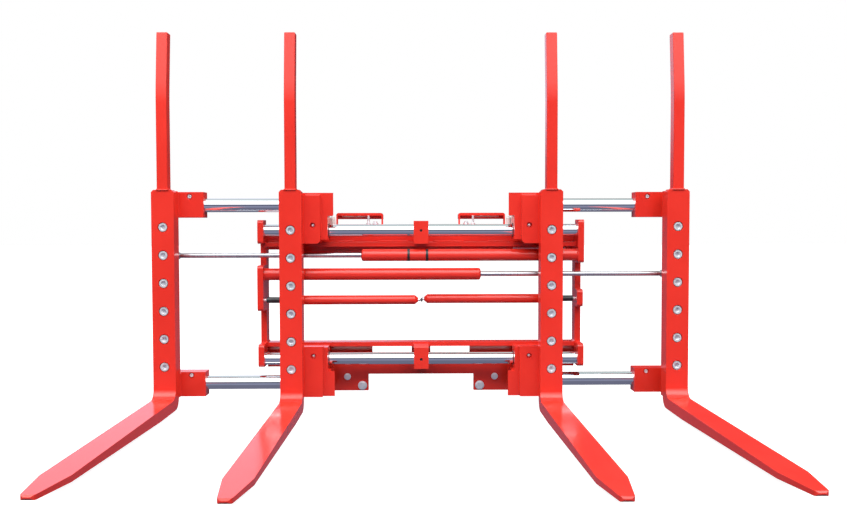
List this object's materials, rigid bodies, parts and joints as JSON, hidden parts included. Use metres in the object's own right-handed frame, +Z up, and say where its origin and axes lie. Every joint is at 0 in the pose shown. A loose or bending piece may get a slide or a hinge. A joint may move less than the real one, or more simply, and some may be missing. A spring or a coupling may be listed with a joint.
{
  "type": "pallet fork attachment",
  "caption": "Hydraulic pallet handler for a lift truck: bolted forks with backrest bars on sliding carriages, chrome shafts, opposed cylinders and gas springs in a hook-on frame.",
  "frame": {"origin": "on the rear bearing face of the upper beam, in the middle of the width and 49 mm below the beam's top edge", "axes": "+X to the right as the driver looks forward over the forks, +Y towards the truck, +Z up; the forks point along -Y"},
  "size_m": [1.92, 1.471, 1.359],
  "materials": {
    "red_paint": "gloss",
    "chrome": "polished",
    "zinc_steel": "zinc plated",
    "black_enamel": "satin",
    "nylon": "matt",
    "bush_bronze": "satin"
  },
  "bodies": {
    "frame": {"upper_beam": "red_paint", "lower_beam": "red_paint", "left_end_plate": "red_paint", "right_end_plate": "red_paint", "upper_centre_bracket": "red_paint", "lower_centre_bracket": "red_paint", "centre_set_screws": "black_enamel", "fixed_shafts": "chrome", "upper_hooks": "red_paint", "hook_pads": "nylon", "hook_latches": "zinc_steel", "lower_hooks": "red_paint", "lower_hook_bolts": "zinc_steel", "left_cylinder_barrel": "red_paint", "right_cylinder_barrel": "red_paint", "rod_glands": "red_paint", "hydraulic_pipes": "zinc_steel", "port_block": "zinc_steel", "gas_spring_barrels": "black_enamel", "gas_spring_ball_studs": "zinc_steel"},
    "inner_left": {"inner_left_fork": "red_paint", "inner_left_backrest_bar": "red_paint", "inner_left_carrier_plate": "red_paint", "inner_left_upper_housing": "red_paint", "inner_left_lower_housing": "red_paint", "inner_left_bushes": "bush_bronze", "inner_left_fork_bolts": "zinc_steel", "inner_left_grease_nipples": "zinc_steel", "inner_left_spring_bracket": "red_paint", "inner_left_spring_tube": "red_paint", "inner_left_spring_rod": "chrome"},
    "inner_right": {"inner_right_fork": "red_paint", "inner_right_backrest_bar": "red_paint", "inner_right_carrier_plate": "red_paint", "inner_right_upper_housing": "red_paint", "inner_right_lower_housing": "red_paint", "inner_right_bushes": "bush_bronze", "inner_right_fork_bolts": "zinc_steel", "inner_right_grease_nipples": "zinc_steel", "inner_right_spring_bracket": "red_paint", "inner_right_spring_tube": "red_paint", "inner_right_spring_rod": "chrome"},
    "outer_left": {"outer_left_fork": "red_paint", "outer_left_backrest_bar": "red_paint", "outer_left_carrier_plate": "red_paint", "outer_left_upper_bracket": "red_paint", "outer_left_lower_bracket": "red_paint", "outer_left_shafts": "chrome", "outer_left_retaining_screws": "zinc_steel", "outer_left_fork_bolts": "zinc_steel", "outer_left_piston_rod": "chrome"},
    "outer_right": {"outer_right_fork": "red_paint", "outer_right_backrest_bar": "red_paint", "outer_right_carrier_plate": "red_paint", "outer_right_upper_bracket": "red_paint", "outer_right_lower_bracket": "red_paint", "outer_right_shafts": "chrome", "outer_right_retaining_screws": "zinc_steel", "outer_right_fork_bolts": "zinc_steel", "outer_right_piston_rod": "chrome"}
  },
  "joints": [
    {"name": "inner_left_slide", "type": "slide", "parent": "frame", "child": "inner_left", "axis": [1, 0, 0], "range_m": [0, 0.28]},
    {"name": "inner_right_slide", "type": "slide", "parent": "frame", "child": "inner_right", "axis": [-1, 0, 0], "range_m": [0, 0.28]},
    {"name": "outer_left_slide", "type": "slide", "parent": "inner_left", "child": "outer_left", "axis": [1, 0, 0], "range_m": [0, 0.35]},
    {"name": "outer_right_slide", "type": "slide", "parent": "inner_right", "child": "outer_right", "axis": [-1, 0, 0], "range_m": [0, 0.35]}
  ]
}
